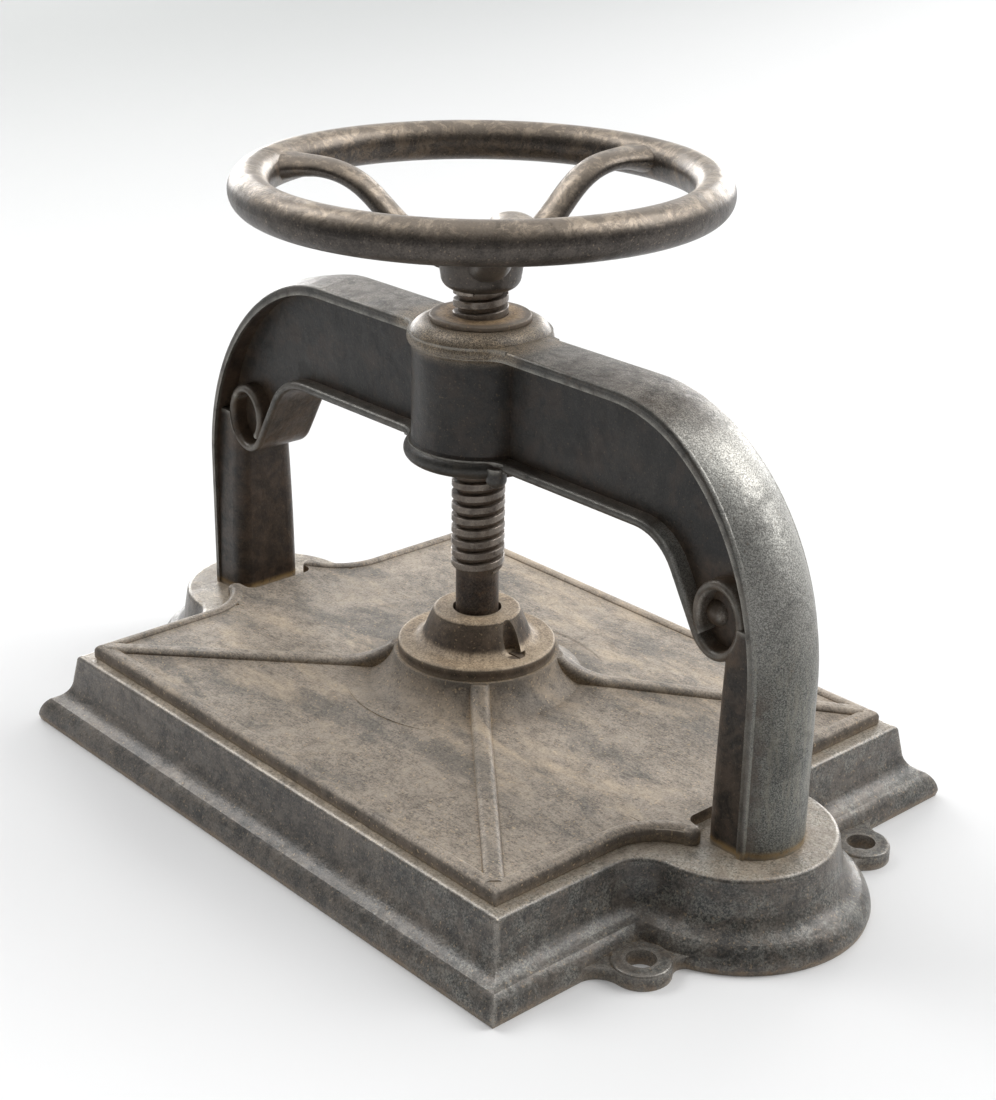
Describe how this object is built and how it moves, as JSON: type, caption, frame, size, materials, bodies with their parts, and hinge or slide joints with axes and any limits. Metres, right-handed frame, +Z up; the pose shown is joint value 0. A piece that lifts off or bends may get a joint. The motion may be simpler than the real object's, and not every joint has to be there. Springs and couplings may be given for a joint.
{
  "type": "bookbinding press",
  "caption": "Iron screw press for bookbinding: a square-thread screw turned by a handwheel drives a flat platen onto a bed under a bolted arch.",
  "frame": {"origin": "on the bench surface, below the screw's axis, at the middle of the base", "axes": "+Z up along the screw, +X from column to column along the bed's long side, -Y towards the front"},
  "size_m": [0.5772, 0.3598, 0.3691],
  "materials": {
    "bed": "black japan, satin, worn pale along the toe",
    "arch_frame": "black japan, worn to bare iron on the edges and column faces",
    "nut_bush": "rusted, dry",
    "bush_lock_screw": "dull",
    "screw_spindle": "dark, oiled, brown in the thread roots",
    "handwheel": "bare iron polished by hands, freckled",
    "wheel_washer": "dull",
    "wheel_nut": "dull",
    "platen": "bare iron, brown patina with fine streaks",
    "keeper_collar": "brown rust patina",
    "keeper_screws": "dark",
    "thrust_collar": "greased",
    "thrust_pin": "ground",
    "thrust_pad": "ground",
    "column_studs_left": "dull",
    "column_washers_left": "dull",
    "column_nuts_left": "dull",
    "column_dowel_left": "ground",
    "column_studs_right": "dull",
    "column_washers_right": "dull",
    "column_nuts_right": "dull",
    "column_dowel_right": "ground"
  },
  "bodies": {
    "frame": {"bed": "bed", "arch_frame": "arch_frame", "nut_bush": "nut_bush", "bush_lock_screw": "bush_lock_screw", "column_studs_left": "column_studs_left", "column_washers_left": "column_washers_left", "column_nuts_left": "column_nuts_left", "column_dowel_left": "column_dowel_left", "column_studs_right": "column_studs_right", "column_washers_right": "column_washers_right", "column_nuts_right": "column_nuts_right", "column_dowel_right": "column_dowel_right"},
    "platen": {"platen": "platen", "keeper_collar": "keeper_collar", "keeper_screws": "keeper_screws", "thrust_pad": "thrust_pad"},
    "screw": {"screw_spindle": "screw_spindle", "thrust_collar": "thrust_collar", "thrust_pin": "thrust_pin", "handwheel": "handwheel", "wheel_washer": "wheel_washer", "wheel_nut": "wheel_nut"}
  },
  "joints": [
    {"name": "platen_slide", "type": "slide", "parent": "frame", "child": "platen", "axis": [0, 0, 1], "range_m": [0, 0.09071]},
    {"name": "screw_turn", "type": "hinge", "parent": "platen", "child": "screw", "pos_m": [0, 0, 0.3], "axis": [0, 0, 1], "range_deg": [0, 4500]}
  ],
  "couplings": [
    {"joint": "screw_turn", "follows": "platen_slide", "rad_per_m": 865.79}
  ]
}
